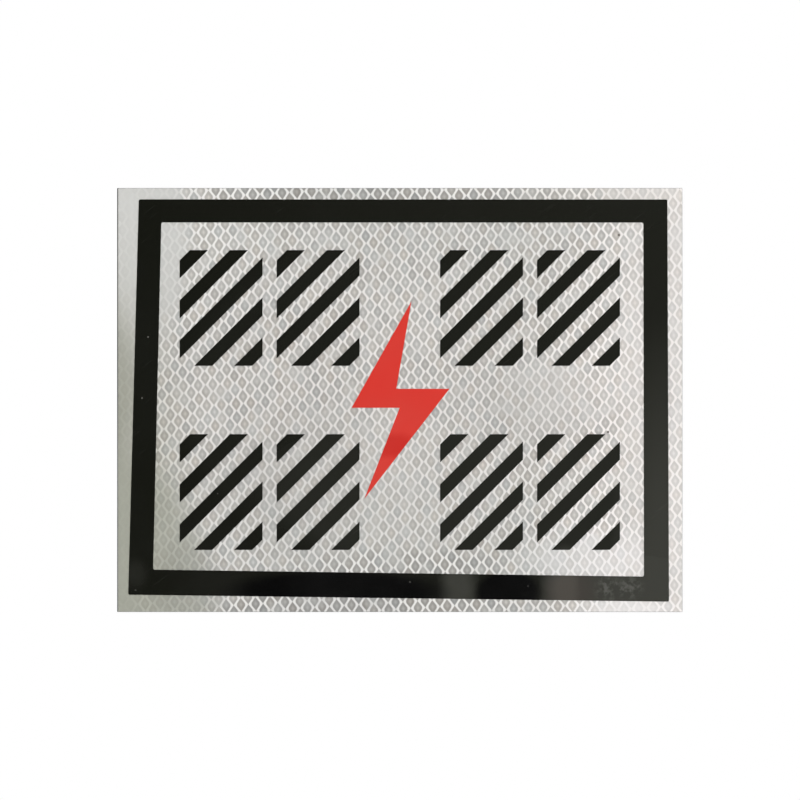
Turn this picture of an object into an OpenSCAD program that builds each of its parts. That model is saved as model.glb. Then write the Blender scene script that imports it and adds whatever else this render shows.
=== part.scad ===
// High voltage warning sign: a flat metal plate faced with prismatic
// reflective sheeting, with a black border, a red lightning bolt and eight
// black striped blocks cut from gloss film.
//
// Millimetres. The sign stands upright with its face towards -Y. The origin
// is the centre of the plate's back face, +Z is up and +X is to the right
// as the face is read.

/* [Plate] */
// Width of the plate
plate_w = 400; // [320:5:480]
// Height of the plate
plate_h = 300; // [260:5:360]
// Thickness of the plate
plate_t = 1.5; // [0.8:0.1:3]
// Radius of the plate's corners
plate_corner_r = 0.6; // [0.2:0.1:4]

/* [Reflective sheeting] */
// Thickness of the sheeting
sheeting_t = 0.45; // [0.3:0.05:1]
// Strip of bare plate along the left edge
bare_left = 0.8; // [0.2:0.1:4]
// Strip of bare plate along the other three edges
bare_edge = 0.3; // [0.2:0.1:4]
// Width of one cell of the sheeting's lattice
cell_w = 10.4; // [9:0.1:25]
// Height of one cell of the lattice
cell_h = 9.8; // [9:0.1:25]
// Depth of a cell's middle below the face
cell_depth = 0.12; // [0.05:0.01:0.2]
// Turn of the lattice's rows against the plate, in degrees
lattice_turn = 3.5; // [0:0.5:15]
// How far the lattice's middle cell lies left of the sheeting's middle
lattice_left = 1.6; // [0:0.1:5]
// How far the lattice's middle cell lies above the sheeting's middle
lattice_up = 4.4; // [0:0.1:5]

/* [Cut film] */
// Thickness of the black and red films
film_t = 0.15; // [0.05:0.01:0.5]

/* [Border] */
// Gap from the plate's left edge to the border, at the top
left_gap_top = 15.4; // [4:0.1:20]
// Gap from the plate's left edge to the border, at the bottom
left_gap_bottom = 7.9; // [4:0.1:20]
// Gap from the plate's right edge to the border, at the top
right_gap_top = 10.8; // [4:0.1:20]
// Gap from the plate's right edge to the border, at the bottom
right_gap_bottom = 9.6; // [4:0.1:20]
// Gap from the plate's top edge to the border, at the left
top_gap_left = 8.1; // [4:0.1:20]
// Gap from the plate's top edge to the border, at the right
top_gap_right = 8.2; // [4:0.1:20]
// Gap from the plate's bottom edge to the border, at the left
bottom_gap_left = 12.3; // [4:0.1:20]
// Gap from the plate's bottom edge to the border, at the right
bottom_gap_right = 7.4; // [4:0.1:20]
// Width of the border's top band
band_top = 16.3; // [8:0.1:24]
// Width of the border's bottom band
band_bottom = 17.7; // [8:0.1:24]
// Width of the border's right band at its top end
band_right_top = 16.9; // [8:0.1:24]
// Width of the border's right band at its bottom end
band_right_bottom = 17.7; // [8:0.1:24]
// Width of the border's left band at its top end
band_left_top = 15.9; // [8:0.1:24]
// Width of the border's left band at its bottom end
band_left_bottom = 17.6; // [8:0.1:24]
// Radius of the border's corners, outside and inside
border_corner_r = 1.2; // [0.4:0.1:6]

/* [Lightning bolt] */
// Height of the bolt from tip to tip
bolt_h = 139.5; // [80:0.5:180]
// Width of the bolt from point to point
bolt_w = 69.3; // [40:0.1:90]
// Height of the step between the bolt's two side points
bolt_step_h = 13.4; // [6:0.1:30]
// How far the step's middle stands above the bolt's middle
bolt_step_up = 1.2; // [0:0.1:6]
// How far the bolt's middle stands to the right of the plate's middle
bolt_right = 0.5; // [0:0.1:3]
// How far the top tip stands to the right of the bolt's middle
top_tip_x = 7.7; // [0:0.1:15]
// How far the bottom tip stands to the left of the bolt's middle
bottom_tip_x = 25.5; // [10:0.1:30]
// How far the upper notch lies to the left of the bolt's middle
upper_notch_x = 3; // [0:0.1:8]
// How far the lower notch lies to the left of the bolt's middle
lower_notch_x = 0.6; // [0:0.1:8]

/* [Striped blocks] */
// Gap between the border and the outer blocks
block_side_gap = 13; // [6:0.5:30]
// Gap between the border and the blocks, above and below
block_end_gap = 14; // [6:0.5:30]
// Gap between neighbouring blocks of a row
block_gap = 10; // [4:0.5:30]
// Height of the clear strip between the two rows of blocks
row_gap = 48.4; // [20:0.1:80]
// Gap between the bolt and the blocks beside it
bolt_gap = 3; // [1:0.5:12]
// Width of one slanted bar
bar_w = 9; // [4:0.5:12]
// Distance from one bar to the next, square to the bars
bar_pitch = 20; // [14:0.5:40]
// Slant of the bars against the rows, in degrees
bar_slant = 45; // [30:1:60]

/* [Hidden] */

$fn = 32;

bare_metal = [0.72, 0.73, 0.74];
sheeting_white = [0.80, 0.79, 0.76];
film_black = [0.13, 0.13, 0.11];
film_red = [0.85, 0.24, 0.20];

// Depth of the two stuck faces, measured forward from the back face
plate_face = plate_t;
sheeting_face = plate_face + sheeting_t;

// The border is laid by eye, so each corner has its own place on the plate
outer_top_left = [-plate_w / 2 + left_gap_top, plate_h / 2 - top_gap_left];
outer_top_right = [plate_w / 2 - right_gap_top, plate_h / 2 - top_gap_right];
outer_bottom_right = [plate_w / 2 - right_gap_bottom, -plate_h / 2 + bottom_gap_right];
outer_bottom_left = [-plate_w / 2 + left_gap_bottom, -plate_h / 2 + bottom_gap_left];
inner_top_left = outer_top_left + [band_left_top, -band_top];
inner_top_right = outer_top_right + [-band_right_top, -band_top];
inner_bottom_right = outer_bottom_right + [-band_right_bottom, band_bottom];
inner_bottom_left = outer_bottom_left + [band_left_bottom, band_bottom];

// Half the width and height of the largest centred field inside the border
field_half_w = min(-inner_top_left.x, -inner_bottom_left.x, inner_top_right.x, inner_bottom_right.x);
field_half_h = min(inner_top_left.y, inner_top_right.y, -inner_bottom_left.y, -inner_bottom_right.y);

// Height of the step's two edges against the bolt's middle
step_top = bolt_step_up + bolt_step_h / 2;
step_bottom = bolt_step_up - bolt_step_h / 2;

// How far the bolt reaches to the side at the height where the rows begin
limb_slope = (top_tip_x + bolt_w / 2) / (bolt_h / 2 - step_bottom);
upper_limb_reach = bolt_w / 2 - (row_gap / 2 - step_bottom) * limb_slope;
bolt_reach = max(upper_limb_reach, bottom_tip_x);

// Each row holds two blocks on either side of the bolt
block_inner_x = bolt_reach + bolt_gap;
block_w = (field_half_w - block_side_gap - block_gap - block_inner_x) / 2;
block_h = field_half_h - block_end_gap - row_gap / 2;
block_reach = norm([block_w, block_h]) / 2;
column_x = [
    -field_half_w + block_side_gap + block_w / 2,
    -block_inner_x - block_w / 2,
    block_inner_x + block_w / 2,
    field_half_w - block_side_gap - block_w / 2
];
top_row = 1;
bottom_row = -1;
row_y = row_gap / 2 + block_h / 2;

// Stands a flat piece up in front of the given depth, with its face forward
module on_face(depth) {
    translate([0, -depth, 0]) rotate([90, 0, 0]) children();
}

// Flat blank with round corners, centred on the origin
module round_blank(w, h, r, t) {
    linear_extrude(t) {
        square([w - 2 * r, h], center = true);
        square([w, h - 2 * r], center = true);
        for (x = [-1, 1], y = [-1, 1])
            translate([x * (w / 2 - r), y * (h / 2 - r)]) circle(r);
    }
}

// Outline with its corners rounded to the radius
module rounded(r) {
    offset(r = r) offset(delta = -r) children();
}

module backing_plate() {
    color(bare_metal) on_face(0) round_blank(plate_w, plate_h, plate_corner_r, plate_t);
}

// Slab whose face is a lattice of shallow four-sided cells, cell_w wide and
// cell_h high, standing on their points. The face is a grid of half cells: every
// second grid point is the middle of a cell, cell_depth below the face, and the
// others are the crossings of the seal lines, which lie in the face at height t.
// Columns and rows come in fours, so that a cell's middle is at the origin.
module lattice_slab(columns, rows, t) {
    half_w = columns * cell_w / 4;
    half_h = rows * cell_h / 4;
    function is_rim(i, j) = i == 0 || i == columns || j == 0 || j == rows;
    function height(i, j) = (i + j) % 2 == 0 && !is_rim(i, j) ? t - cell_depth : t;
    function at(i, j) = i * (rows + 1) + j;
    function two_triangles(i, j) = (i + j) % 2 == 0
        ? [[at(i, j), at(i, j + 1), at(i + 1, j)], [at(i, j + 1), at(i + 1, j + 1), at(i + 1, j)]]
        : [[at(i, j), at(i, j + 1), at(i + 1, j + 1)], [at(i, j), at(i + 1, j + 1), at(i + 1, j)]];
    face = [
        for (i = [0 : columns], j = [0 : rows])
            [i * cell_w / 2 - half_w, j * cell_h / 2 - half_h, height(i, j)]
    ];
    back = [for (x = [-half_w, half_w], y = [-half_h, half_h]) [x, y, -t]];
    left_low = len(face);
    left_high = left_low + 1;
    right_low = left_low + 2;
    right_high = left_low + 3;
    sides = [
        [for (j = [rows : -1 : 0]) at(0, j), left_low, left_high],
        [for (j = [0 : rows]) at(columns, j), right_high, right_low],
        [for (i = [0 : columns]) at(i, 0), right_low, left_low],
        [for (i = [columns : -1 : 0]) at(i, rows), left_high, right_high],
        [left_low, right_low, right_high, left_high]
    ];
    cells = [for (i = [0 : columns - 1], j = [0 : rows - 1]) each two_triangles(i, j)];
    polyhedron(concat(face, back), concat(cells, sides));
}

// The lattice runs past the sheet all round and is turned against it, then
// trimmed to its outline, so that the cells along its edges are cut through,
// and the whole is held to the sheet's own width, height and thickness
module reflective_sheeting() {
    sheeting_w = plate_w - bare_left - bare_edge;
    sheeting_h = plate_h - 2 * bare_edge;
    turned_w = sheeting_w * cos(lattice_turn) + sheeting_h * sin(lattice_turn);
    turned_h = sheeting_h * cos(lattice_turn) + sheeting_w * sin(lattice_turn);
    columns = 4 * ceil((turned_w / 2 + lattice_left) / cell_w + 0.5);
    rows = 4 * ceil((turned_h / 2 + lattice_up) / cell_h + 0.5);
    color(sheeting_white) on_face(plate_face) translate([(bare_left - bare_edge) / 2, 0])
        resize([sheeting_w, sheeting_h, sheeting_t]) intersection() {
            round_blank(sheeting_w, sheeting_h, plate_corner_r, 2 * sheeting_t);
            rotate(lattice_turn) translate([-lattice_left, lattice_up])
                lattice_slab(columns, rows, sheeting_t);
        }
}

module border_film() {
    color(film_black) on_face(sheeting_face) linear_extrude(film_t) difference() {
        rounded(border_corner_r)
            polygon([outer_top_left, outer_top_right, outer_bottom_right, outer_bottom_left]);
        rounded(border_corner_r)
            polygon([inner_top_left, inner_top_right, inner_bottom_right, inner_bottom_left]);
    }
}

// Two limbs joined at a level step, each drawn out to a tip
module bolt_film() {
    color(film_red) on_face(sheeting_face) translate([bolt_right, 0]) linear_extrude(film_t)
        polygon([
            [top_tip_x, bolt_h / 2],
            [-upper_notch_x, step_top],
            [bolt_w / 2, step_top],
            [-bottom_tip_x, -bolt_h / 2],
            [-lower_notch_x, step_bottom],
            [-bolt_w / 2, step_bottom]
        ]);
}

// One block: slanted bars cut off square by the block's outline
module striped_block(column, row) {
    bars_each_side = floor(block_reach / bar_pitch);
    color(film_black) on_face(sheeting_face) translate([column_x[column - 1], row * row_y])
        linear_extrude(film_t) intersection() {
            square([block_w, block_h], center = true);
            rotate(bar_slant)
                for (bar = [-bars_each_side : bars_each_side])
                    translate([0, bar * bar_pitch]) square([2 * block_reach, bar_w], center = true);
        }
}

module stripes_top_1() { striped_block(1, top_row); }
module stripes_top_2() { striped_block(2, top_row); }
module stripes_top_3() { striped_block(3, top_row); }
module stripes_top_4() { striped_block(4, top_row); }
module stripes_bottom_1() { striped_block(1, bottom_row); }
module stripes_bottom_2() { striped_block(2, bottom_row); }
module stripes_bottom_3() { striped_block(3, bottom_row); }
module stripes_bottom_4() { striped_block(4, bottom_row); }

backing_plate();
reflective_sheeting();
border_film();
bolt_film();
stripes_top_1();
stripes_top_2();
stripes_top_3();
stripes_top_4();
stripes_bottom_1();
stripes_bottom_2();
stripes_bottom_3();
stripes_bottom_4();
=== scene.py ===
import logging
import math
from dataclasses import dataclass
from enum import Enum
from functools import cache

import bmesh
import bpy
import numpy as np
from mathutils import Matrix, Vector


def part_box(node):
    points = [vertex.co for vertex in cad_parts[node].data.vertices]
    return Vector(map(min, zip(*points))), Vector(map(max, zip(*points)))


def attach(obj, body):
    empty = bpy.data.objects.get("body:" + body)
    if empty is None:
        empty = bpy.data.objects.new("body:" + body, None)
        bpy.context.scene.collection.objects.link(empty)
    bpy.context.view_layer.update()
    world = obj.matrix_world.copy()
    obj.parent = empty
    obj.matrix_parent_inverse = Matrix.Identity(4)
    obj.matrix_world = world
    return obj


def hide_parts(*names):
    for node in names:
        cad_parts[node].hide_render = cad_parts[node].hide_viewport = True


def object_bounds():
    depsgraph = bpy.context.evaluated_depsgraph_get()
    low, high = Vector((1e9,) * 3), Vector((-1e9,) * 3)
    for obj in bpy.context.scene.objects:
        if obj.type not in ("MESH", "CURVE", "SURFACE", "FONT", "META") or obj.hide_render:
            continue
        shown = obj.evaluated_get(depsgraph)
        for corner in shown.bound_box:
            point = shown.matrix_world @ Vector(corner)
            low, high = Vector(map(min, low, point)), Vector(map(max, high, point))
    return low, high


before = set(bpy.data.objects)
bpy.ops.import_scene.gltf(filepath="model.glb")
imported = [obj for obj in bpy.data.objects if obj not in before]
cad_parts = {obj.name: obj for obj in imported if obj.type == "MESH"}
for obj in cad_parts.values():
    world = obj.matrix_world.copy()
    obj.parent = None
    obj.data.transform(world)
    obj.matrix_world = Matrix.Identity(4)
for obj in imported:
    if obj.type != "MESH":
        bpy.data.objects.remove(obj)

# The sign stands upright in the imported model's frame: its face looks along -Y,
# +X is to the right as the face is read, and the origin is at its back. Sizes
# in millimetres are multiplied by MM, because everything here is in metres.
# Scales of noise are in waves to a metre.
MM = 0.001
CAD_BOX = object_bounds()
BODY = "root"

log = logging.getLogger("sign")

Triple = tuple[float, float, float]
Colour = Triple
Range = tuple[float, float]
Socket = bpy.types.NodeSocket
Outputs = bpy.types.NodeOutputs
Tree = bpy.types.ShaderNodeTree


class Slot(Enum):
    """Material slots of the record that a piece takes its finish from."""

    PLATE = "plate_metal"
    SHEETING = "white_sheeting"
    BLACK = "black_film"
    RED = "red_film"


class Port(Enum):
    """Kinds of socket that a node group can have."""

    VALUE = "NodeSocketFloat"
    VECTOR = "NodeSocketVector"
    COLOUR = "NodeSocketColor"


class Graph:
    """Short calls that add nodes to one shader tree and link them."""

    def __init__(self, tree: Tree) -> None:
        """Keeps the tree that the nodes go into."""
        self.tree = tree

    def add(self, kind: str, **settings: object) -> bpy.types.Node:
        """Adds a node.

        Args:
            kind: Blender's name for the node's type.
            settings: Values of the node's own properties.

        Returns:
            The new node.
        """
        node = self.tree.nodes.new(kind)
        for name, value in settings.items():
            setattr(node, name, value)
        return node

    def feed(self, socket: Socket, value: object) -> None:
        """Links an output to a socket, or sets the socket to a plain value."""
        if isinstance(value, bpy.types.NodeSocket):
            self.tree.links.new(value, socket)
        elif socket.type == "RGBA":
            socket.default_value = (*value, 1.0)
        else:
            socket.default_value = value

    def fill(self, node: bpy.types.Node, **values: object) -> Outputs:
        """Feeds a node's inputs.

        Args:
            node: The node.
            values: What each input gets, by its name with low lines for blanks.

        Returns:
            The node's outputs.
        """
        for name, value in values.items():
            self.feed(node.inputs[name.replace("_", " ")], value)
        return node.outputs

    def value(self, operation: str, *terms: object) -> Socket:
        """Works a number out of others with a Math node.

        Args:
            operation: The Math node's operation.
            terms: Outputs or numbers, in the node's own order.

        Returns:
            The node's output.
        """
        node = self.add("ShaderNodeMath", operation=operation)
        for socket, term in zip(node.inputs, terms):
            self.feed(socket, term)
        return node.outputs[0]

    def vector(self, operation: str, *terms: object) -> Socket:
        """Works a vector, or its length, out of others with a Vector Math node.

        Args:
            operation: The Vector Math node's operation.
            terms: Outputs or vectors, in the node's own order.

        Returns:
            The output that the operation fills.
        """
        node = self.add("ShaderNodeVectorMath", operation=operation)
        for socket, term in zip(node.inputs, terms):
            self.feed(socket, term)
        return node.outputs["Value" if operation == "LENGTH" else "Vector"]

    def step(self, value: object, low: object, high: object) -> Socket:
        """Rises smoothly from 0 at low to 1 at high.

        Args:
            value: The number that is followed.
            low: Where the step is 0. It may lie above high, for a falling step.
            high: Where the step is 1.

        Returns:
            The step, between 0 and 1.
        """
        node = self.add("ShaderNodeMapRange", interpolation_type="SMOOTHSTEP")
        return self.fill(node, Value=value, From_Min=low, From_Max=high)["Result"]

    def scaled(self, value: object, low: float, high: float) -> Socket:
        """Maps 0 to 1 onto low to high.

        Args:
            value: A number between 0 and 1.
            low: The result at 0.
            high: The result at 1.

        Returns:
            The mapped number.
        """
        node = self.add("ShaderNodeMapRange")
        return self.fill(node, Value=value, To_Min=low, To_Max=high)["Result"]

    def mix(self, amount: object, first: object, second: object, blend: str = "MIX") -> Socket:
        """Mixes two colours.

        Args:
            amount: How much of the second colour is taken.
            first: The colour at 0.
            second: The colour at 1.
            blend: The Mix node's blend type.

        Returns:
            The mixed colour.
        """
        node = self.add("ShaderNodeMix", data_type="RGBA", blend_type=blend)
        for index, term in ((0, amount), (6, first), (7, second)):
            self.feed(node.inputs[index], term)
        return node.outputs[2]

    def noise(self, at: Socket, scale: float, detail: float) -> Socket:
        """Adds soft noise.

        Args:
            at: The point that is read.
            scale: Waves to a metre.
            detail: How many finer layers are added.

        Returns:
            The noise, around a half.
        """
        node = self.add("ShaderNodeTexNoise")
        return self.fill(node, Vector=at, Scale=scale, Detail=detail)["Fac"]

    def group(self, tree: Tree, **values: object) -> Outputs:
        """Places a node group.

        Args:
            tree: The group's tree.
            values: The group's inputs, as fill takes them.

        Returns:
            The group's outputs.
        """
        return self.fill(self.add("ShaderNodeGroup", node_tree=tree), **values)

    def split(self, vector: Socket) -> tuple[Socket, Socket, Socket]:
        """Returns a vector's X, Y and Z."""
        return tuple(self.fill(self.add("ShaderNodeSeparateXYZ"), Vector=vector))

    def join(self, *parts: object) -> Socket:
        """Returns the vector made of X, Y and Z."""
        node = self.add("ShaderNodeCombineXYZ")
        return self.fill(node, **dict(zip("XYZ", parts)))["Vector"]


def new_group(
    name: str, inputs: dict[str, Port], outputs: dict[str, Port]
) -> tuple[Graph, Outputs, bpy.types.NodeInputs]:
    """Makes an empty node group with its sockets.

    Args:
        name: The group's name.
        inputs: Kind of each input, by name.
        outputs: Kind of each output, by name.

    Returns:
        The graph to add nodes to, the group's inputs and the group's outputs.
    """
    tree = bpy.data.node_groups.new(name, "ShaderNodeTree")
    for side, ports in (("INPUT", inputs), ("OUTPUT", outputs)):
        for port_name, port in ports.items():
            tree.interface.new_socket(name=port_name, in_out=side, socket_type=port.value)
    graph = Graph(tree)
    entry = graph.add("NodeGroupInput").outputs
    leave = graph.add("NodeGroupOutput").inputs
    return graph, entry, leave


@dataclass
class Effects:
    """Node groups that more than one finish uses, each made once.

    A step is the stretch of noise or distance over which something comes up.

    Attributes:
        ragged_scale: Scale of the noise that shifts an oval's edge.
        smudge_scale: Scale of the broad smudges.
        smudge_step: Step of a smudge.
        dot_scale: Scale of the cells that may hold a speck.
        dot_step: Step of a speck, from its edge inwards.
        slant: Slant of the hairlines, in degrees.
        hairline_scale: Scale of the hairlines along each axis.
        hairline_step: Step of a hairline.
        area_scale: Scale of the areas that have hairlines.
        area_step: Step of such an area.
        grain_scale: Scale of the fine grain.
    """

    ragged_scale: float = 160.0
    smudge_scale: float = 14.0
    smudge_step: Range = (0.35, 0.7)
    dot_scale: float = 70.0
    dot_step: Range = (0.045, 0.025)
    slant: float = 37.0
    hairline_scale: Triple = (45.0, 1.0, 2600.0)
    hairline_step: Range = (0.74, 0.80)
    area_scale: float = 21.0
    area_step: Range = (0.56, 0.64)
    grain_scale: float = 900.0

    def __post_init__(self) -> None:
        """Makes the groups."""
        self.patch = self._patch()
        self.wear = self._wear()

    def _patch(self) -> Tree:
        """Makes the mask of one soft oval with a ragged edge.

        The point is taken from the oval's centre, shifted by noise of the size
        of Ragged and divided by the half sizes. Its length r is 1 on the oval's
        edge. The mask is 1 for r under 1 - Soft and 0 for r over 1 + Soft.

        Returns:
            The group's tree.
        """
        graph, entry, leave = new_group(
            "soft_patch",
            {"Point": Port.VECTOR, "Centre": Port.VECTOR, "Half Size": Port.VECTOR,
             "Soft": Port.VALUE, "Ragged": Port.VALUE},
            {"Mask": Port.VALUE},
        )
        point = entry["Point"]
        noise = graph.fill(graph.add("ShaderNodeTexNoise"), Vector=point, Scale=self.ragged_scale)
        centred = graph.vector("SUBTRACT", noise["Color"], (0.5, 0.5, 0.5))
        scale = graph.add("ShaderNodeVectorMath", operation="SCALE")
        shift = graph.fill(scale, Vector=centred, Scale=entry["Ragged"])["Vector"]
        moved = graph.vector("ADD", graph.vector("SUBTRACT", point, entry["Centre"]), shift)
        radius = graph.vector("LENGTH", graph.vector("DIVIDE", moved, entry["Half Size"]))
        outer = graph.value("ADD", 1.0, entry["Soft"])
        inner = graph.value("SUBTRACT", 1.0, entry["Soft"])
        graph.feed(leave["Mask"], graph.step(radius, outer, inner))
        return graph.tree

    def _wear(self) -> Tree:
        """Makes the small wear that every surface of the sign carries.

        Smudge is broad soft noise. Speck is 1 in a few small dots: the middles
        of the cells of a Voronoi pattern, where the cell's own random number is
        over 1 - Amount. Hairline is 1 along thin short scratches: the crests of
        noise that is stretched along a slant, where other noise is high. Grain
        is fine noise.

        Returns:
            The group's tree.
        """
        graph, entry, leave = new_group(
            "fine_wear",
            {"Point": Port.VECTOR, "Amount": Port.VALUE},
            {"Smudge": Port.VALUE, "Speck": Port.VALUE, "Hairline": Port.VALUE, "Grain": Port.VALUE},
        )
        point = entry["Point"]
        broad = graph.noise(point, self.smudge_scale, detail=3.0)
        graph.feed(leave["Smudge"], graph.step(broad, *self.smudge_step))
        dots = graph.fill(graph.add("ShaderNodeTexVoronoi"), Vector=point, Scale=self.dot_scale)
        chance = graph.split(dots["Color"])[0]
        rare = graph.value("GREATER_THAN", chance, graph.value("SUBTRACT", 1.0, entry["Amount"]))
        dot = graph.step(dots["Distance"], *self.dot_step)
        graph.feed(leave["Speck"], graph.value("MULTIPLY", rare, dot))
        turn = graph.add("ShaderNodeVectorRotate", rotation_type="Y_AXIS")
        slanted = graph.fill(turn, Vector=point, Angle=math.radians(self.slant))["Vector"]
        drawn = graph.vector("MULTIPLY", slanted, self.hairline_scale)
        streak = graph.step(graph.noise(drawn, 1.0, detail=0.0), *self.hairline_step)
        here = graph.step(graph.noise(point, self.area_scale, detail=1.0), *self.area_step)
        graph.feed(leave["Hairline"], graph.value("MULTIPLY", streak, here))
        graph.feed(leave["Grain"], graph.noise(point, self.grain_scale, detail=2.0))
        return graph.tree


@cache
def effects() -> Effects:
    """Returns the shared node groups, which the first call makes."""
    return Effects()


@dataclass(frozen=True)
class Patch:
    """One soft oval on the sign's face, its sizes in millimetres.

    Attributes:
        x: Place of its centre to the right of the plate's centre.
        z: Place of its centre above the plate's centre.
        half_w: Half its width.
        half_h: Half its height.
        soft: How far its edge is spread, as a share of its half size.
        ragged: How far noise shifts its edge.
    """

    x: float
    z: float
    half_w: float
    half_h: float
    soft: float = 0.3
    ragged: float = 0.0


Patches = tuple[Patch, ...]
Amounts = tuple[tuple[Patch, float], ...]
Tints = tuple[tuple[Patch, Colour], ...]


class Surface(Graph):
    """The graph of one material, with what every finish starts from.

    Attributes:
        material: The material.
        point: The point on the piece in Object coordinates.
        shader: The material's Principled BSDF.
        output: The material's output node.
    """

    def __init__(self, name: str) -> None:
        """Makes a material with a Principled BSDF alone.

        Args:
            name: The material's name.
        """
        self.material = bpy.data.materials.new(name)
        self.material.use_nodes = True
        super().__init__(self.material.node_tree)
        self.tree.nodes.clear()
        self.point = self.add("ShaderNodeTexCoord").outputs["Object"]
        self.shader = self.add("ShaderNodeBsdfPrincipled")
        self.output = self.add("ShaderNodeOutputMaterial")
        self.fill(self.output, Surface=self.shader.outputs["BSDF"])

    def wear(self, amount: float = 0.0) -> Outputs:
        """Returns the shared wear's outputs, with specks in that share of the cells."""
        return self.group(effects().wear, Point=self.point, Amount=amount)

    def mask(self, patch: Patch, amount: object = 1.0) -> Socket:
        """Adds the mask of one soft oval.

        Args:
            patch: The oval.
            amount: What the mask is multiplied by.

        Returns:
            The mask, from 0 outside the oval to amount inside it.
        """
        through = 1.0
        mask = self.group(
            effects().patch,
            Point=self.point,
            Centre=(patch.x * MM, 0.0, patch.z * MM),
            Half_Size=(patch.half_w * MM, through, patch.half_h * MM),
            Soft=patch.soft,
            Ragged=patch.ragged * MM,
        )["Mask"]
        return self.value("MULTIPLY", mask, amount)

    def bump(self, height: Socket, depth: float) -> None:
        """Feeds a Bump node to the shader's normal.

        Args:
            height: The height, from 0 to 1.
            depth: What a height of 1 stands for, in millimetres.
        """
        bump = self.fill(self.add("ShaderNodeBump"), Height=height, Distance=depth * MM)
        self.fill(self.shader, Normal=bump["Normal"])


@dataclass(frozen=True)
class Lattice:
    """The sheeting's lattice of cells, its sizes in millimetres.

    A place in a cell is told by u, its level distance from the cell's middle,
    and v, its upright one, both 1 at the cell's corners. Its spread is the
    larger of |v| + lean * |u| and blunt * |u|. Lines of equal spread are tall
    lozenges with blunted sides, and the pocket's brim is one of them.

    Attributes:
        cell_w: Width of a cell.
        cell_h: Height of a cell.
        turn: Turn of the rows against the plate, in degrees.
        left: How far the middle cell lies left of the sheeting's middle.
        up: How far the middle cell lies above the sheeting's middle.
        depth: Depth of a pocket at the edge of its floor.
        lean: Lean of the lozenges' slanted sides.
        blunt: How far their side corners are blunted.
        brim: Spread of the pocket's brim.
        floor: Spread of the edge of its floor.
        heart: Spread of the ring inside that edge.
        heart_depth: Depth of that ring.
        middle_depth: Depth of a pocket's middle.
        side_points: Points of a ring on each side of a cell, three for the land's faces.
        rounding: How far the painted lozenges' corners are rounded.
        rim_step: Spread over which a cell's heart turns into its rim.
        seal_step: Spread, counted from the brim, over which the seal line comes up.
        crossing_step: The u over which a crossing of seal lines comes up.
    """

    cell_w: float = 10.4
    cell_h: float = 9.8
    turn: float = 3.5
    left: float = 1.6
    up: float = 4.4
    depth: float = 0.12
    lean: float = 1.45
    blunt: float = 1.75
    brim: float = 0.95
    floor: float = 0.72
    heart: float = 0.35
    heart_depth: float = 0.095
    middle_depth: float = 0.085
    side_points: int = 3
    rounding: float = 0.2
    rim_step: Range = (0.05, 0.62)
    seal_step: Range = (-0.07, 0.13)
    crossing_step: Range = (0.84, 1.0)

    def corners(self) -> np.ndarray:
        """Returns the cell's four corners as u and v."""
        return np.array([(1.0, 0.0), (0.0, 1.0), (-1.0, 0.0), (0.0, -1.0)])

    def ring(self, spread: float) -> np.ndarray:
        """Works out points of equal spread round a cell's middle.

        The points lie in the directions of points set evenly on the cell's own
        outline, |u| + |v| = 1, from each corner towards the next. Each is that
        point divided by its own spread and multiplied by the wanted one.

        Args:
            spread: The wanted spread.

        Returns:
            The points' u and v, side_points of them for each of the four sides.
        """
        corners = self.corners()
        share = np.arange(self.side_points)[None, :, None] / self.side_points
        after = np.roll(corners, -1, axis=0)
        outline = (corners[:, None, :] * (1 - share) + after[:, None, :] * share).reshape(-1, 2)
        u, v = np.abs(outline).T
        own = np.maximum(v + self.lean * u, self.blunt * u)
        return outline * (spread / own)[:, None]

    def group(self) -> Tree:
        """Makes the node group that paints the lattice.

        In coordinates turned and shifted with the lattice, the seal lines lie
        where a = x / cell_w + z / cell_h or b = x / cell_w - z / cell_h is a
        half more than a whole number. Their fractions give u and v, and those
        the spread. Rim goes from 0 in the cell's middle to 1 towards its brim,
        Seal is 1 beyond the brim, and Crossing is 1 where two seal lines meet
        beside a cell. Chance is a random colour for each cell.

        Returns:
            The group's tree.
        """
        graph, entry, leave = new_group(
            "cell_lattice",
            {"Point": Port.VECTOR, "Middle": Port.VECTOR},
            {"Rim": Port.VALUE, "Seal": Port.VALUE, "Crossing": Port.VALUE, "Chance": Port.COLOUR},
        )
        from_middle = graph.vector("SUBTRACT", entry["Point"], entry["Middle"])
        turn = graph.add("ShaderNodeVectorRotate", rotation_type="Y_AXIS")
        turned = graph.fill(turn, Vector=from_middle, Angle=math.radians(self.turn))
        x, _, z = graph.split(turned["Vector"])
        x = graph.value("MULTIPLY_ADD", x, 1.0 / (self.cell_w * MM), self.left / self.cell_w)
        z = graph.value("MULTIPLY_ADD", z, 1.0 / (self.cell_h * MM), -self.up / self.cell_h)
        a = graph.value("ADD", graph.value("ADD", x, z), 0.5)
        b = graph.value("ADD", graph.value("SUBTRACT", x, z), 0.5)
        from_a = graph.value("SUBTRACT", graph.value("FRACT", a), 0.5)
        from_b = graph.value("SUBTRACT", graph.value("FRACT", b), 0.5)
        u = graph.value("ABSOLUTE", graph.value("ADD", from_a, from_b))
        v = graph.value("ABSOLUTE", graph.value("SUBTRACT", from_a, from_b))
        slanted = graph.value("MULTIPLY_ADD", u, self.lean, v)
        blunted = graph.value("MULTIPLY", u, self.blunt)
        spread = graph.value("SMOOTH_MAX", slanted, blunted, self.rounding)
        seal = (self.brim + beyond for beyond in self.seal_step)
        graph.feed(leave["Rim"], graph.step(spread, *self.rim_step))
        graph.feed(leave["Seal"], graph.step(spread, *seal))
        graph.feed(leave["Crossing"], graph.step(u, *self.crossing_step))
        cell = graph.join(graph.value("FLOOR", a), graph.value("FLOOR", b), 0.0)
        white = graph.add("ShaderNodeTexWhiteNoise", noise_dimensions="3D")
        graph.feed(leave["Chance"], graph.fill(white, Vector=cell)["Color"])
        return graph.tree


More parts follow.
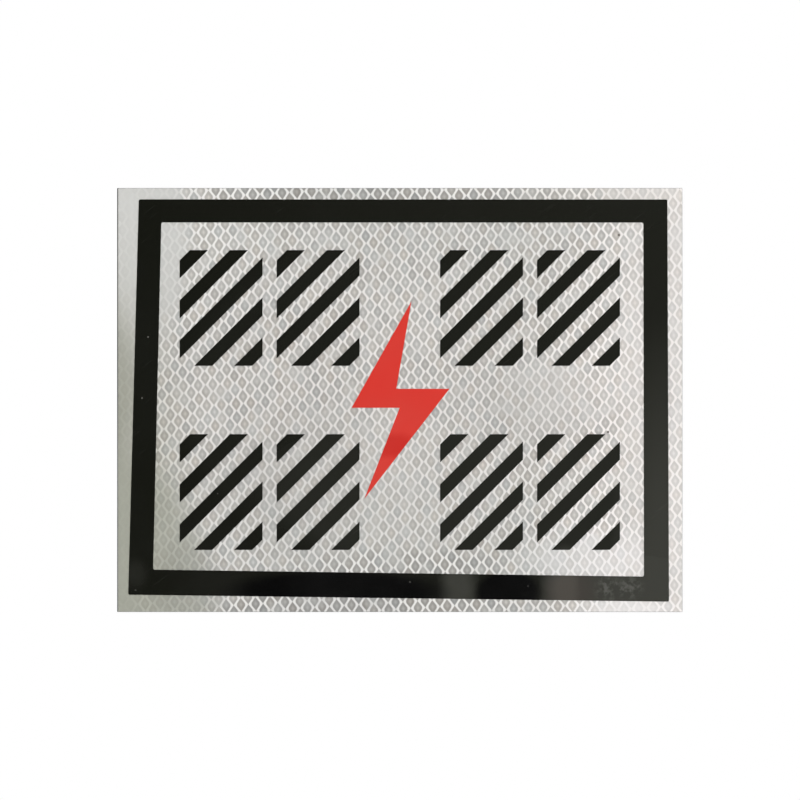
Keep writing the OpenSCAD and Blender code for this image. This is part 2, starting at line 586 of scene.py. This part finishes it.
@dataclass(frozen=True)
class SheetingFinish:
    """White prismatic sheeting, faded unevenly over the sign, with painted light and shade on it.

    Attributes:
        lattice: The lattice that is painted.
        middle: The lattice's middle, in metres.
        seal: Colour of the seal lines.
        crossing: Colour where two seal lines meet.
        rim: Colour of a cell near its brim.
        heart: Colour of a cell's middle.
        warm: Tint of the warmest cells.
        cool: Tint of the coolest cells.
        shades: Brightness of the darkest and of the lightest cells.
        crisp_seal: Colour of the seal lines where the lattice is crisp.
        crisp_cell: Tint of the cells there.
        crisps: Ovals in which the lattice is crisp.
        faded: Colour that the lattice fades to.
        cloudy: How far it fades in small clouds all over the sheet.
        cloud_scale: Scale of the clouds.
        cloud_step: Noise over which a cloud comes up.
        fades: Ovals in which it fades, and how far.
        painted_light_and_shade: Ovals of painted light and painted shade, where the sheet is drawn
            lighter or darker, and the tint.
        speck: Colour of the dark specks.
        specks: The dark specks.
        smudged: How far a smudge takes the sheet to the seal's colour.
        rough: Roughness of the clean and of the smudged sheet.
        coat: Weight of the clear face.
        coat_rough: Roughness of the clear face.
        grain: Depth of the fine grain, in millimetres.
    """

    lattice: Lattice
    middle: Triple
    seal: Colour = (0.74, 0.727, 0.705)
    crossing: Colour = (0.64, 0.63, 0.61)
    rim: Colour = (0.39, 0.383, 0.364)
    heart: Colour = (0.56, 0.551, 0.528)
    warm: Colour = (1.035, 1.0, 0.965)
    cool: Colour = (0.975, 1.0, 1.02)
    shades: Range = (0.90, 1.10)
    crisp_seal: Colour = (0.80, 0.787, 0.765)
    crisp_cell: Colour = (0.76, 0.76, 0.76)
    crisps: Patches = (
        Patch(-20, 150, 115, 14, 0.25),
        Patch(-24, -150, 106, 16, 0.15),
        Patch(-2, -117, 66, 10, 0.4),
    )
    faded: Colour = (0.54, 0.54, 0.52)
    cloudy: float = 0.42
    cloud_scale: float = 75.0
    cloud_step: Range = (0.50, 0.68)
    fades: Amounts = (
        (Patch(-197, 30, 14, 260, 0.4), 0.85),
        (Patch(-182, 150, 28, 20, 0.4), 0.75),
        (Patch(-172, 104, 22, 50, 0.35, 6), 0.8),
        (Patch(-204, -150, 70, 114, 0.18, 8), 0.6),
        (Patch(196, 0, 40, 220, 0.5), 0.45),
        (Patch(134, -112, 42, 20, 0.5, 8), 0.5),
        (Patch(160, -147, 26, 7, 0.4, 4), 0.75),
        (Patch(164, 147, 26, 9, 0.4, 4), 0.45),
        (Patch(-48, -62, 90, 46, 0.6, 8), 0.25),
        (Patch(104, 2, 36, 24, 0.5, 8), 0.3),
    )
    # Painted light and shade: darker ovals at the lower left, lighter ones towards the right.
    painted_light_and_shade: Tints = (
        (Patch(-190, 130, 80, 60, 0.9), (1.14, 1.14, 1.14)),
        (Patch(-206, -70, 46, 135, 0.6), (0.84, 0.845, 0.79)),
        (Patch(-207, 10, 22, 54, 0.45), (0.755, 0.76, 0.715)),
        (Patch(-204, -150, 70, 114, 0.18, 8), (0.80, 0.81, 0.76)),
        (Patch(-45, 153, 60, 12, 0.4), (0.95, 0.955, 0.955)),
        (Patch(165, 153, 110, 12, 0.4), (1.05, 1.04, 1.03)),
        (Patch(-42, -150, 40, 20, 0.5), (0.92, 0.92, 0.93)),
        (Patch(-20, 10, 150, 85, 0.6), (1.07, 1.053, 1.055)),
        (Patch(240, -30, 115, 260, 0.5), (1.27, 1.23, 1.24)),
        (Patch(160, -152, 34, 16, 0.5), (1.22, 1.22, 1.24)),
        (Patch(-150, -132, 24, 32, 0.35, 6), (0.88, 0.88, 0.87)),
        (Patch(134, -112, 42, 24, 0.6, 8), (1.15, 1.15, 1.17)),
        (Patch(82, -4, 58, 30, 0.6, 8), (0.94, 0.94, 0.94)),
        (Patch(-66, -42, 44, 56, 0.6, 8), (0.94, 0.94, 0.94)),
        (Patch(198, -78, 12, 60, 0.5), (1.06, 1.06, 1.06)),
    )
    speck: Colour = (0.10, 0.085, 0.07)
    specks: Patches = (
        Patch(155, 116.7, 0.9, 0.7, 0.4),
        Patch(147.3, -22.6, 0.8, 0.8, 0.4),
    )
    smudged: float = 0.06
    rough: Range = (0.30, 0.42)
    coat: float = 0.35
    coat_rough: float = 0.12
    grain: float = 0.01

    def build(self) -> bpy.types.Material:
        """Returns the material of the sheeting."""
        graph = Surface("prismatic_sheeting")
        wear = graph.wear()
        colour = self.cells(graph)
        colour = graph.mix(graph.scaled(wear["Smudge"], 0.0, self.smudged), colour, self.seal)
        clouds = graph.noise(graph.point, self.cloud_scale, detail=3.0)
        clouds = graph.scaled(graph.step(clouds, *self.cloud_step), 0.0, self.cloudy)
        colour = graph.mix(clouds, colour, self.faded)
        for patch, amount in self.fades:
            colour = graph.mix(graph.mask(patch, amount), colour, self.faded)
        # Painted light and shade: ovals that draw the sheet darker, mostly at its lower left, and
        # lighter, mostly towards its right.
        for patch, tint in self.painted_light_and_shade:
            colour = graph.mix(graph.mask(patch), colour, tint, "MULTIPLY")
        for patch in self.specks:
            colour = graph.mix(graph.mask(patch), colour, self.speck)
        rough = graph.scaled(wear["Smudge"], *self.rough)
        graph.fill(graph.shader, Base_Color=colour, Roughness=rough)
        graph.fill(graph.shader, Coat_Weight=self.coat, Coat_Roughness=self.coat_rough)
        graph.bump(wear["Grain"], self.grain)
        return graph.material

    def cells(self, graph: Surface) -> Socket:
        """Adds the colour of the cells and of the seal lines between them.

        Args:
            graph: The material's graph.

        Returns:
            The colour.
        """
        lattice = graph.group(self.lattice.group(), Point=graph.point, Middle=self.middle)
        bright, hue, _ = graph.split(lattice["Chance"])
        colour = graph.mix(lattice["Rim"], self.heart, self.rim)
        colour = graph.mix(1.0, colour, graph.mix(hue, self.warm, self.cool), "MULTIPLY")
        shade = graph.scaled(bright, *self.shades)
        colour = graph.mix(1.0, colour, graph.join(shade, shade, shade), "MULTIPLY")
        line = self.seal
        for patch in self.crisps:
            crisp = graph.mask(patch)
            colour = graph.mix(crisp, colour, self.crisp_cell, "MULTIPLY")
            line = graph.mix(crisp, line, self.crisp_seal)
        line = graph.mix(lattice["Crossing"], line, self.crossing)
        return graph.mix(lattice["Seal"], colour, line)


@dataclass(frozen=True)
class FilmFinish:
    """Gloss cut film of one colour, a little hazy and scuffed, with painted sheen and painted shade
    on it.

    Attributes:
        name: The material's name.
        base: Colour of the clean film.
        haze_and_sheen_colour: Colour of the film's haziness and of its painted sheen.
        haze_amount: How far even haziness covers it at most.
        hazes_and_painted_sheen: Ovals of more haziness and of painted sheen, where the film is drawn
            lighter, and how far they cover it there.
        painted_shades: Ovals of painted shade, where the film is drawn darker or warmer than its own
            colour, and its tint there.
        scuffs: Ovals that are scuffed.
        marks: Small light marks, and how strongly each shows.
        mark: Colour of the marks and scuffs.
        haze_and_sheen_blend: How softly one hazy or sheen oval passes into the next.
        specked: Share of the wear's cells that hold a speck.
        speck_mark: How strongly the specks show.
        hairline_mark: How strongly the hairlines show.
        scuff_scale: Scale of the scuffs.
        scuff_step: Noise over which a scuff comes up.
        scuff_mark: How strongly the scuffs show.
        rough: Roughness of the clean and of the smudged film.
        worn_rough: What full wear adds to it.
        gloss: Specular level of the film.
        grain: Depth of the fine grain, in millimetres.
    """

    name: str
    base: Colour
    haze_and_sheen_colour: Colour
    haze_amount: float
    hazes_and_painted_sheen: Amounts = ()
    painted_shades: Tints = ()
    scuffs: Patches = ()
    marks: Amounts = ()
    mark: Colour = (0.55, 0.54, 0.50)
    haze_and_sheen_blend: float = 0.003
    specked: float = 0.05
    speck_mark: float = 0.15
    hairline_mark: float = 0.03
    scuff_scale: float = 260.0
    scuff_step: Range = (0.42, 0.66)
    scuff_mark: float = 0.09
    rough: Range = (0.12, 0.20)
    worn_rough: float = 0.4
    gloss: float = 0.4
    grain: float = 0.012

    def build(self) -> bpy.types.Material:
        """Returns the material of the film."""
        graph = Surface(self.name)
        wear = graph.wear(self.specked)
        haze_and_sheen = graph.scaled(wear["Smudge"], 0.0, self.haze_amount)
        # Partly real haze and partly painted sheen: these ovals draw the gloss film lighter, most
        # towards its right.
        for patch, amount in self.hazes_and_painted_sheen:
            haze_and_sheen = graph.value("SMOOTH_MAX", haze_and_sheen, graph.mask(patch, amount), self.haze_and_sheen_blend)
        colour = graph.mix(haze_and_sheen, self.base, self.haze_and_sheen_colour)
        # Painted shade: these ovals draw the gloss film darker, or warmer, than its own colour.
        for patch, tint in self.painted_shades:
            colour = graph.mix(graph.mask(patch), colour, tint, "MULTIPLY")
        worn = self.worn(graph, wear)
        colour = graph.mix(worn, colour, self.mark)
        rough = graph.scaled(wear["Smudge"], *self.rough)
        rough = graph.value("MULTIPLY_ADD", worn, self.worn_rough, rough)
        graph.fill(graph.shader, Base_Color=colour, Roughness=rough, Specular_IOR_Level=self.gloss)
        graph.bump(wear["Grain"], self.grain)
        return graph.material

    def worn(self, graph: Surface, wear: Outputs) -> Socket:
        """Gathers the film's marks, scuffs and fine scratches.

        Args:
            graph: The material's graph.
            wear: Outputs of the shared wear group.

        Returns:
            How far the film is worn, between 0 and 1.
        """
        speck = graph.value("MULTIPLY", wear["Speck"], self.speck_mark)
        hairline = graph.value("MULTIPLY", wear["Hairline"], self.hairline_mark)
        worn = graph.value("MAXIMUM", speck, hairline)
        cloudy = graph.noise(graph.point, self.scuff_scale, detail=4.0)
        cloudy = graph.scaled(graph.step(cloudy, *self.scuff_step), 0.0, self.scuff_mark)
        for patch in self.scuffs:
            worn = graph.value("MAXIMUM", worn, graph.mask(patch, cloudy))
        for patch, amount in self.marks:
            worn = graph.value("MAXIMUM", worn, graph.mask(patch, amount))
        return worn


@dataclass(frozen=True)
class BlackFilm(FilmFinish):
    """The black film of the border and the blocks, with its own haziness, painted sheen, painted
    shade and marks.
    """

    name: str = "black_gloss_film"
    base: Colour = (0.0042, 0.0047, 0.0024)
    haze_and_sheen_colour: Colour = (0.9, 0.9, 0.8)
    haze_amount: float = 0.003
    # Partly real haze and partly painted sheen, lighter towards the right and lower right.
    hazes_and_painted_sheen: Amounts = (
        (Patch(0, 0, 160, 122, 0.1), 0.0072),
        (Patch(60, -62, 165, 60, 0.15), 0.0145),
        (Patch(230, 0, 330, 400, 0.95), 0.009),
        (Patch(186, -150, 34, 160, 0.75), 0.042),
        (Patch(168, -134, 66, 26, 0.12, 3), 0.047),
        (Patch(117, -134, 14, 26, 0.7, 3), 0.066),
        (Patch(41.5, -132, 12, 20, 0.6, 3), 0.044),
        (Patch(-187, -123, 8, 10, 0.8), 0.013),
    )
    # Painted shade: darker at the bottom middle, a little warmer beside it.
    painted_shades: Tints = (
        (Patch(-46, -136, 74, 15, 0.22), (0.10, 0.10, 0.14)),
        (Patch(76.5, -136, 22, 15, 0.2), (0.12, 0.12, 0.16)),
        (Patch(120, -136, 17, 15, 0.6), (1.12, 1.0, 1.0)),
    )
    scuffs: Patches = (
        Patch(147, -132.6, 7.5, 8, 0.6, 4),
        Patch(162.1, -132.6, 8, 7, 0.6, 4),
    )
    marks: Amounts = (
        (Patch(-178.1, 44.6, 0.5, 0.5, 0.4), 0.3),
        (Patch(-182.3, 1.4, 0.5, 0.5, 0.4), 0.25),
        (Patch(-186.9, -134.4, 0.6, 0.5, 0.4), 0.08),
        (Patch(7.2, -128.7, 0.6, 0.5, 0.4), 0.12),
        (Patch(90.7, -131.6, 0.6, 0.5, 0.4), 0.06),
    )


@dataclass(frozen=True)
class RedFilm(FilmFinish):
    """The red film of the bolt, with painted shade a little below its middle."""

    name: str = "red_gloss_film"
    base: Colour = (0.66, 0.040, 0.029)
    haze_and_sheen_colour: Colour = (0.62, 0.07, 0.055)
    haze_amount: float = 0.3
    # Painted shade a little below the bolt's middle.
    painted_shades: Tints = (
        (Patch(-6, -32, 18, 8, 0.45), (0.88, 0.62, 0.62)),
    )


@dataclass(frozen=True)
class PlateFinish:
    """Mill-finish sheet metal, with the streaks of its rolling along X and painted shade along its
    left edge.

    Attributes:
        base: Colour of the clean metal.
        dull: Colour of the dulled metal.
        face: Place of the plate's face along Y, in millimetres.
        painted_edge_shade: Colour of the painted shade along the left edge of that face.
        painted_edge_shades: Ovals in which the painted shade lies, and how far it covers the metal.
        face_step: How far behind it the painted shade ends and is full, in millimetres.
        speck: Colour of the specks.
        specked: Share of the wear's cells that hold one.
        speck_mark: How strongly they show.
        rolling: Scale of the streaks along each axis.
        broad_scale: Scale of the dull areas.
        dull_step: Noise over which the metal dulls.
        streak_share: How far the streaks take part in that.
        rough: Roughness from one streak to the next.
        hairline_rough: What a hairline adds to it.
        hairline_cut: Depth of a hairline beside that of the streaks.
        relief: Depth of the streaks, in millimetres.
    """

    base: Colour = (0.50, 0.51, 0.51)
    dull: Colour = (0.35, 0.36, 0.36)
    face: float = -1.5
    painted_edge_shade: Colour = (0.04, 0.04, 0.036)
    # Painted shade along the left edge, stronger towards the top.
    painted_edge_shades: Amounts = (
        (Patch(-200.5, 95, 2.2, 110, 0.4), 0.85),
        (Patch(-200.5, -60, 2.2, 130, 0.4), 0.35),
    )
    face_step: Range = (0.2, 0.05)
    speck: Colour = (0.2, 0.2, 0.2)
    specked: float = 0.12
    speck_mark: float = 0.5
    rolling: Triple = (4.0, 60.0, 900.0)
    broad_scale: float = 5.0
    dull_step: Range = (0.55, 1.0)
    streak_share: float = 0.5
    rough: Range = (0.36, 0.50)
    hairline_rough: float = 0.15
    hairline_cut: float = 0.4
    relief: float = 0.02

    def build(self) -> bpy.types.Material:
        """Returns the material of the bare plate."""
        graph = Surface("mill_finish_plate")
        wear = graph.wear(self.specked)
        drawn = graph.fill(graph.add("ShaderNodeMapping"), Vector=graph.point, Scale=self.rolling)
        streaks = graph.noise(drawn["Vector"], 1.0, detail=3.0)
        broad = graph.noise(graph.point, self.broad_scale, detail=3.0)
        mixed = graph.value("ADD", broad, graph.value("MULTIPLY", streaks, self.streak_share))
        colour = graph.mix(graph.step(mixed, *self.dull_step), self.base, self.dull)
        specks = graph.value("MULTIPLY", wear["Speck"], self.speck_mark)
        colour = graph.mix(specks, colour, self.speck)
        _, along_y, _ = graph.split(graph.point)
        on_face = graph.step(along_y, *((self.face + behind) * MM for behind in self.face_step))
        # Painted shade: the bare face along the left edge is drawn dark, where the plate's thin side
        # falls in shade.
        for patch, amount in self.painted_edge_shades:
            cover = graph.value("MULTIPLY", graph.mask(patch, amount), on_face)
            colour = graph.mix(cover, colour, self.painted_edge_shade)
        rough = graph.scaled(streaks, *self.rough)
        rough = graph.value("MULTIPLY_ADD", wear["Hairline"], self.hairline_rough, rough)
        graph.fill(graph.shader, Base_Color=colour, Metallic=1.0, Roughness=rough)
        cut = graph.value("MULTIPLY", wear["Hairline"], self.hairline_cut)
        graph.bump(graph.value("SUBTRACT", streaks, cut), self.relief)
        return graph.material


def dress(piece: bpy.types.Object, material: bpy.types.Material) -> None:
    """Gives a piece one material all over."""
    piece.data.materials.clear()
    piece.data.materials.append(material)


@dataclass
class BackingPlate:
    """The bare metal plate that carries the face.

    Attributes:
        finish: The plate's finish.
    """

    finish: PlateFinish = PlateFinish()

    def build(self) -> None:
        """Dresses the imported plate."""
        dress(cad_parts["backing_plate"], self.finish.build())
        log.info("backing_plate: packed solid, slot %s", Slot.PLATE.value)


@dataclass
class ReflectiveSheeting:
    """The sheeting, with each cell of its lattice as a shallow pocket.

    Attributes:
        lattice: Sizes of the lattice.
    """

    lattice: Lattice = Lattice()

    def __post_init__(self) -> None:
        """Takes the sheet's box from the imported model."""
        self.low, self.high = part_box("reflective_sheeting")
        self.middle = (self.low + self.high) / 2

    def cell(self) -> tuple[np.ndarray, list[tuple[int, ...]]]:
        """Works out one cell: its corners, three rings of points and its middle.

        The corners and the first ring, on the pocket's brim, lie in the face.
        The two other rings lie on the pocket's floor, which rises a little
        towards the middle. On each side of the cell a quad and two triangles
        join the corners to the brim, quads join the rings, and a fan of
        triangles closes the last ring.

        Returns:
            The points as u, v and depth, and the point numbers of each face.
        """
        grid = self.lattice
        rings = (
            (grid.corners(), 0.0),
            (grid.ring(grid.brim), 0.0),
            (grid.ring(grid.floor), grid.depth),
            (grid.ring(grid.heart), grid.heart_depth),
            (np.zeros((1, 2)), grid.middle_depth),
        )
        points = np.concatenate([np.insert(ring, 2, depth, axis=1) for ring, depth in rings])
        corners = len(grid.corners())
        count = corners * grid.side_points
        faces = []
        for corner in range(corners):
            after = (corner + 1) % corners
            start = corner * grid.side_points
            brim = [corners + (start + place) % count for place in range(grid.side_points + 1)]
            faces.append((corner, after, brim[2], brim[1]))
            faces.append((corner, brim[1], brim[0]))
            faces.append((after, brim[3], brim[2]))
        for outer in (corners, corners + count):
            inner = outer + count
            for here in range(count):
                after = (here + 1) % count
                faces.append((outer + here, outer + after, inner + after, inner + here))
        last = corners + 2 * count
        faces += [(last + here, last + (here + 1) % count, last + count) for here in range(count)]
        return points, faces

    def surface(self) -> tuple[np.ndarray, list[tuple[int, ...]]]:
        """Works out the face before it is trimmed to the sheet's outline.

        Cell middles lie at x = i * cell_w / 2 and z = j * cell_h / 2 for every
        i and j whose sum is even. Each cell is the one cell moved there, and
        the whole is shifted, and then turned about the sheet's middle. Cells
        wholly outside the outline are left out, and points that neighbouring
        cells share are joined.

        Returns:
            The points, and the point numbers of each face.
        """
        grid = self.lattice
        pattern, faces = self.cell()
        half_w, half_h = grid.cell_w / 2, grid.cell_h / 2
        spare = 2
        reach = math.ceil((self.high - self.low).length / MM / min(grid.cell_w, grid.cell_h)) + spare
        step = np.arange(-reach, reach + 1)
        i, j = (index.ravel() for index in np.meshgrid(step, step, indexing="ij"))
        i, j = i[(i + j) % 2 == 0], j[(i + j) % 2 == 0]
        x = (i[:, None] + pattern[None, :, 0]) * half_w - grid.left
        z = (j[:, None] + pattern[None, :, 1]) * half_h + grid.up
        y = np.broadcast_to(pattern[None, :, 2], x.shape)
        turn = math.radians(grid.turn)
        across = (x * math.cos(turn) - z * math.sin(turn)) * MM + self.middle.x
        above = (x * math.sin(turn) + z * math.cos(turn)) * MM + self.middle.z
        points = np.stack((across, self.low.y + y * MM, above), axis=-1)
        inside = (across > self.low.x) & (across < self.high.x)
        inside &= (above > self.low.z) & (above < self.high.z)
        points = points[inside.any(axis=1)]
        offsets = np.arange(len(points)) * len(pattern)
        points = points.reshape(-1, 3)
        near = points.round(decimals=7)
        _, first, joined = np.unique(near, axis=0, return_index=True, return_inverse=True)
        joined = joined.ravel()
        numbered = [joined[offset + np.array(face)].tolist() for offset in offsets for face in faces]
        return points[first], numbered

    def trim(self, mesh: bmesh.types.BMesh) -> None:
        """Cuts the face along the sheet's four edges.

        Args:
            mesh: The untrimmed face, which is changed.
        """
        for place, outward in (
            (self.low, (-1, 0, 0)), (self.low, (0, 0, -1)),
            (self.high, (1, 0, 0)), (self.high, (0, 0, 1)),
        ):
            everything = mesh.verts[:] + mesh.edges[:] + mesh.faces[:]
            bmesh.ops.bisect_plane(
                mesh, geom=everything, dist=1e-6, plane_co=place, plane_no=outward, clear_outer=True
            )

    def close(self, mesh: bmesh.types.BMesh) -> None:
        """Adds the sheet's cut edges and its flat back, and turns every face outwards.

        Args:
            mesh: The trimmed face, which is changed.
        """
        rim = [edge for edge in mesh.edges if edge.is_boundary]
        for edge in rim:
            edge.smooth = False
        drawn = bmesh.ops.extrude_edge_only(mesh, edges=rim)["geom"]
        for vert in (item for item in drawn if isinstance(item, bmesh.types.BMVert)):
            vert.co.y = self.high.y
        back = [item for item in drawn if isinstance(item, bmesh.types.BMEdge) and item.is_boundary]
        for edge in back:
            edge.smooth = False
        bmesh.ops.triangle_fill(mesh, edges=back, use_beauty=True)
        bmesh.ops.recalc_face_normals(mesh, faces=mesh.faces[:])

    def build(self) -> bpy.types.Object:
        """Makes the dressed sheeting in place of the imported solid.

        Returns:
            The new piece.
        """
        points, faces = self.surface()
        data = bpy.data.meshes.new("sheeting_face")
        data.from_pydata(points.tolist(), [], faces)
        mesh = bmesh.new()
        mesh.from_mesh(data)
        self.trim(mesh)
        self.close(mesh)
        for face in mesh.faces:
            face.smooth = True
        mesh.to_mesh(data)
        mesh.free()
        piece = bpy.data.objects.new("sheeting_face", data)
        bpy.context.scene.collection.objects.link(piece)
        dress(piece, SheetingFinish(self.lattice, tuple(self.middle)).build())
        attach(piece, BODY)
        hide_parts("reflective_sheeting")
        log.info("%s: %d points, %d faces", piece.name, len(data.vertices), len(data.polygons))
        return piece


@dataclass
class CutFilms:
    """The black and the red film on the sheeting.

    Attributes:
        black: Finish of the border and the blocks.
        red: Finish of the bolt.
    """

    black: FilmFinish = BlackFilm()
    red: FilmFinish = RedFilm()

    def build(self) -> None:
        """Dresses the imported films."""
        black = self.black.build()
        red = self.red.build()
        for name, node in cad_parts.items():
            if name == "bolt_film":
                dress(node, red)
                log.info("%s: packed solid, slot %s", name, Slot.RED.value)
            elif name.startswith(("border", "stripes")):
                dress(node, black)
                log.info("%s: packed solid, slot %s", name, Slot.BLACK.value)


@dataclass(frozen=True)
class Lamp:
    """One square soft light that looks at the sign's middle.

    Attributes:
        name: The light's name.
        place: Where it stands.
        size: Length of its side.
        power: Its power in watts.
    """

    name: str
    place: Triple
    size: float
    power: float

    def build(self) -> None:
        """Adds the light to the scene."""
        data = bpy.data.lights.new(self.name, "AREA")
        data.shape = "SQUARE"
        data.size = self.size
        data.energy = self.power
        lamp = bpy.data.objects.new(self.name, data)
        lamp.location = self.place
        lamp.rotation_euler = (-Vector(self.place)).to_track_quat("-Z", "Y").to_euler()
        bpy.context.scene.collection.objects.link(lamp)


@dataclass
class Studio:
    """Camera, lamps, white surround and floor.

    Attributes:
        frame_width: Width of the photo's frame at the sign's face.
        aim_x: Place of the frame's middle to the right of the plate's.
        lens: Focal length in millimetres on a frame of sensor millimetres.
        sensor: Width of the camera's frame in millimetres.
        floor_drop: Height of the floor under the sign's middle.
        floor_half: Half the floor's width.
        floor_shade: Radius round the sign in which the floor shows a shadow.
        ambient: Strength of the surround's even light.
        front_dim: How bright the room behind the camera looks in a gloss face.
        front_step: Y of a reflected ray over which that room ends.
        floor_lines: Points along each side of the floor.
        floor_dark: Colour of the floor's darker grain.
        floor_light: Colour of its lighter grain.
        floor_rough: Roughness of the floor.
        shade_near: Radius within which the floor's shadow shows best.
        shade_cover: How far white covers the floor there.
        lamps: The soft lights.
    """

    frame_width: float = 0.5658
    aim_x: float = 0.00014
    lens: float = 85.0
    sensor: float = 36.0
    floor_drop: float = -0.50
    floor_half: float = 2.2
    floor_shade: float = 0.8
    ambient: float = 0.42
    front_dim: float = 0.05
    front_step: Range = (-0.45, 0.1)
    floor_lines: int = 33
    floor_dark: Colour = (0.80, 0.80, 0.79)
    floor_light: Colour = (0.86, 0.86, 0.85)
    floor_rough: float = 0.8
    shade_near: float = 0.25
    shade_cover: float = 0.7
    lamps: tuple[Lamp, ...] = (
        Lamp("right_softbox", (1.05, -1.15, 0.70), 0.9, 15.0),
        Lamp("left_softbox", (-1.15, -1.25, 0.55), 0.9, 8.0),
        Lamp("top_softbox", (0.0, 0.35, 1.4), 1.2, 10.0),
        Lamp("back_softbox", (0.9, 1.2, 1.0), 1.0, 10.0),
    )

    def camera(self) -> None:
        """Places the camera square to the face, as the photo has it."""
        data = bpy.data.cameras.new("camera")
        data.sensor_width = self.sensor
        data.lens = self.lens
        distance = self.frame_width * self.lens / self.sensor
        camera = bpy.data.objects.new("camera", data)
        camera.location = (self.aim_x, CAD_BOX[0].y - distance, 0.0)
        camera.rotation_euler = (math.radians(90.0), 0.0, 0.0)
        bpy.context.scene.collection.objects.link(camera)
        bpy.context.scene.camera = camera

    def surround(self) -> None:
        """Makes the world: white to the eye, and even light on the sign."""
        world = bpy.data.worlds.new("surround")
        world.use_nodes = True
        world.node_tree.nodes.clear()
        graph = Graph(world.node_tree)
        path = graph.add("ShaderNodeLightPath").outputs
        _, forward, _ = graph.split(graph.add("ShaderNodeTexCoord").outputs["Generated"])
        gloss = graph.scaled(graph.step(forward, *self.front_step), self.front_dim, 1.0)
        seen = graph.value("MAXIMUM", path["Is Glossy Ray"], path["Is Transmission Ray"])
        strength = graph.mix(seen, (self.ambient,) * 3, graph.join(gloss, gloss, gloss))
        strength = graph.mix(path["Is Camera Ray"], strength, (1.0, 1.0, 1.0))
        light = graph.fill(graph.add("ShaderNodeBackground"), Color=strength)["Background"]
        graph.fill(graph.add("ShaderNodeOutputWorld"), Surface=light)
        bpy.context.scene.world = world

    def floor(self) -> None:
        """Makes the pale floor, a flat grid which shows its shadow near the sign only."""
        half = self.floor_half
        line = np.linspace(-half, half, self.floor_lines)
        x, y = np.meshgrid(line, line, indexing="ij")
        points = np.stack((x, y, np.full_like(x, self.floor_drop)), axis=-1).reshape(-1, 3)
        count = len(line)
        first = (np.arange(count - 1)[:, None] * count + np.arange(count - 1)[None, :]).ravel()
        quads = np.stack((first, first + count, first + count + 1, first + 1), axis=-1)
        data = bpy.data.meshes.new("floor")
        data.from_pydata(points.tolist(), [], quads.tolist())
        floor = bpy.data.objects.new("floor", data)
        bpy.context.scene.collection.objects.link(floor)
        graph = Surface("pale_floor")
        grain = graph.noise(graph.point, scale=40.0, detail=3.0)
        colour = graph.mix(grain, self.floor_dark, self.floor_light)
        graph.fill(graph.shader, Base_Color=colour, Roughness=self.floor_rough)
        white = graph.add("ShaderNodeEmission")
        path = graph.add("ShaderNodeLightPath").outputs
        flat = graph.vector("MULTIPLY", graph.point, (1.0, 1.0, 0.0))
        away = graph.step(graph.vector("LENGTH", flat), self.shade_near, self.floor_shade)
        cover = graph.scaled(away, self.shade_cover, 1.0)
        blend = graph.add("ShaderNodeMixShader")
        graph.feed(blend.inputs[0], graph.value("MULTIPLY", path["Is Camera Ray"], cover))
        graph.feed(blend.inputs[1], graph.shader.outputs["BSDF"])
        graph.feed(blend.inputs[2], white.outputs[0])
        graph.fill(graph.output, Surface=blend.outputs[0])
        dress(floor, graph.material)

    def build(self) -> None:
        """Makes the whole studio."""
        self.camera()
        self.surround()
        self.floor()
        for lamp in self.lamps:
            lamp.build()
        bpy.context.scene.view_settings.view_transform = "Standard"
        log.info("studio: camera, %d lamps, surround and floor", len(self.lamps))


def main() -> None:
    """Builds the sign's dressed pieces and the studio round them."""
    logging.basicConfig(level=logging.INFO, format="%(message)s")
    Studio().build()
    BackingPlate().build()
    ReflectiveSheeting().build()
    CutFilms().build()


if __name__ == "__main__":
    main()
